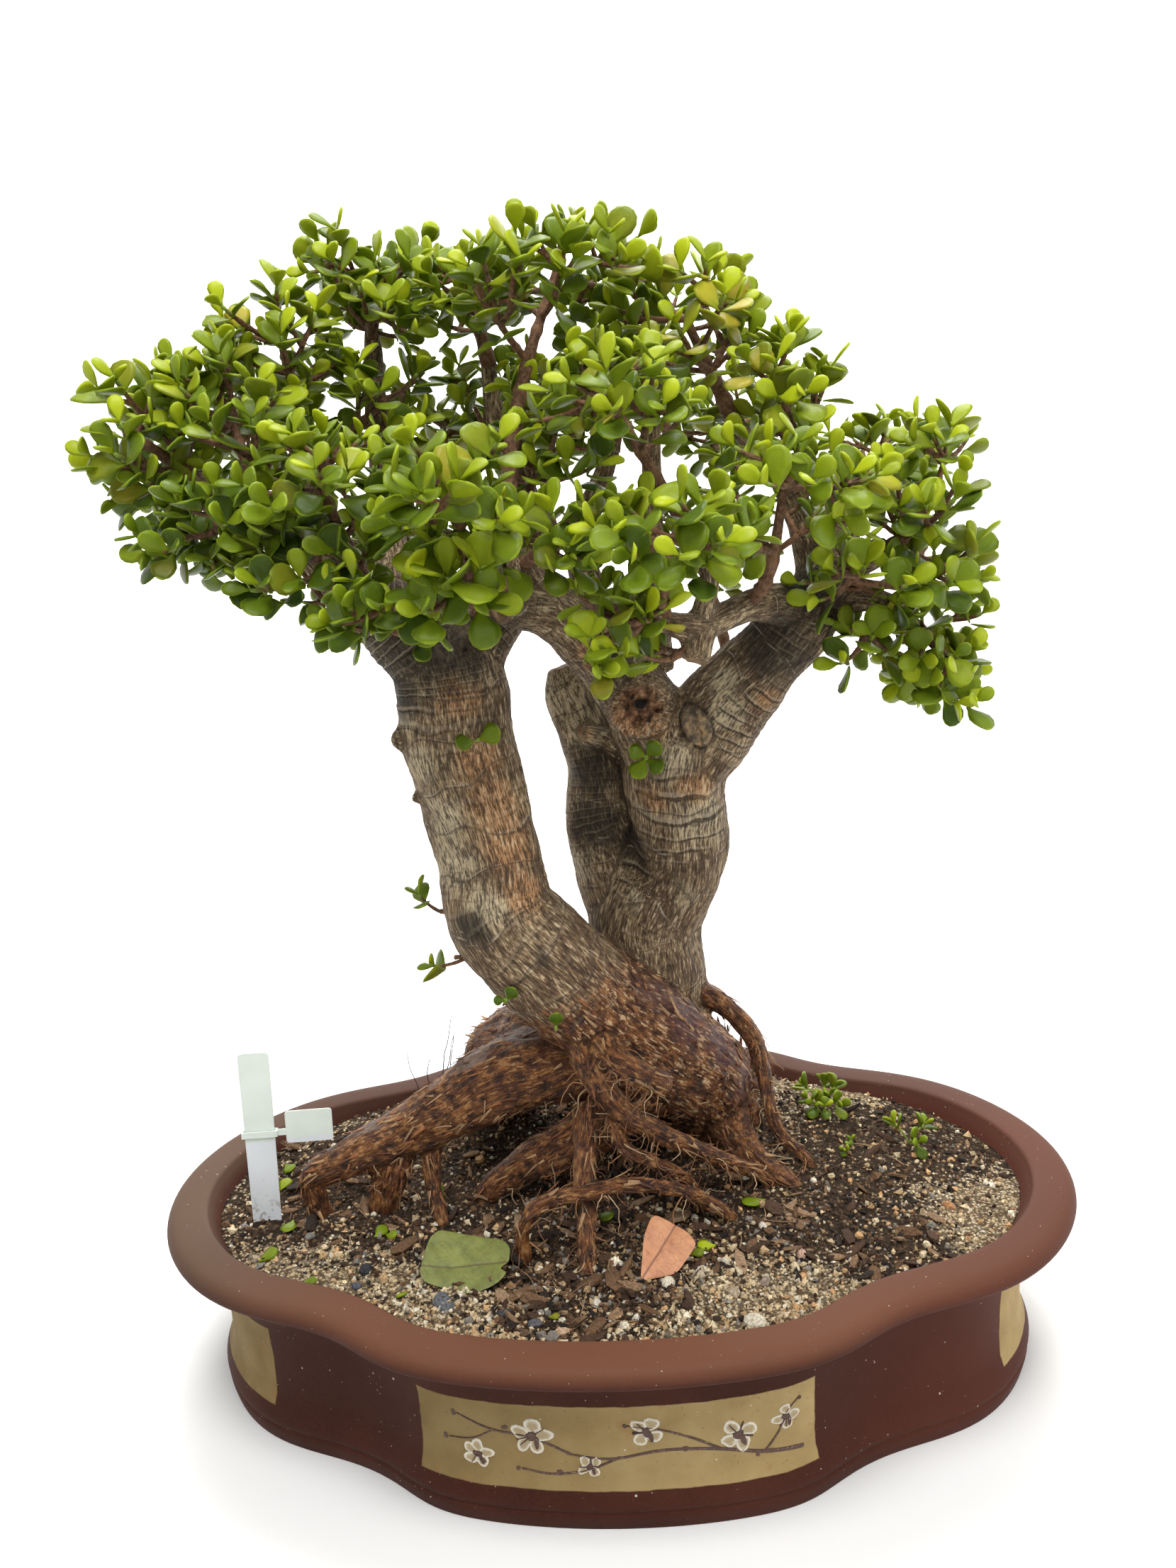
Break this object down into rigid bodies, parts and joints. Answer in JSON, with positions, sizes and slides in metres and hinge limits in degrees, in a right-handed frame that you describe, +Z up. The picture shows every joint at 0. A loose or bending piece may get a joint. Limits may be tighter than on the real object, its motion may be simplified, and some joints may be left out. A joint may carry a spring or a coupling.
{
  "type": "potted dwarf jade bonsai",
  "caption": "Two-trunk succulent bonsai with spreading surface roots and small round opposite leaves, in an oval four-lobed clay pot.",
  "frame": {"origin": "on the ground under the middle of the pot", "axes": "+Z up, +X along the pot's length to the viewer's right, the front of the pot faces -Y"},
  "size_m": [0.56, 0.368, 0.7004],
  "materials": {
    "clay": "unglazed matte",
    "soil": "gritty",
    "bark": "wrinkled bark",
    "leaf": "waxy",
    "label": "satin",
    "fallen_green": "matte",
    "fallen_red": "matte"
  },
  "bodies": {
    "root": {"pot": "clay", "soil": "soil", "trunk": "bark", "bough_left_tip": "leaf", "bough_left_middle": "leaf", "bough_left_low": "leaf", "bough_left_up": "leaf", "bough_left_top": "leaf", "bough_left_front": "leaf", "bough_left_under": "leaf", "bough_left_far": "leaf", "bough_left_back": "leaf", "bough_front": "leaf", "bough_top": "leaf", "bough_top_left": "leaf", "bough_middle_front": "leaf", "bough_inner": "leaf", "bough_back_left": "leaf", "bough_back": "leaf", "bough_front_low": "leaf", "bough_front_hanging": "leaf", "bough_top_right": "leaf", "bough_right_top": "leaf", "bough_right_front": "leaf", "bough_right": "leaf", "bough_right_low": "leaf", "bough_right_back": "leaf", "bough_back_right": "leaf", "bough_back_low": "leaf", "shoot_left_upper": "leaf", "shoot_left_lower": "leaf", "label_stake": "label", "label_tag": "label", "fallen_leaf_green": "fallen_green", "fallen_leaf_red": "fallen_red"}
  },
  "joints": []
}
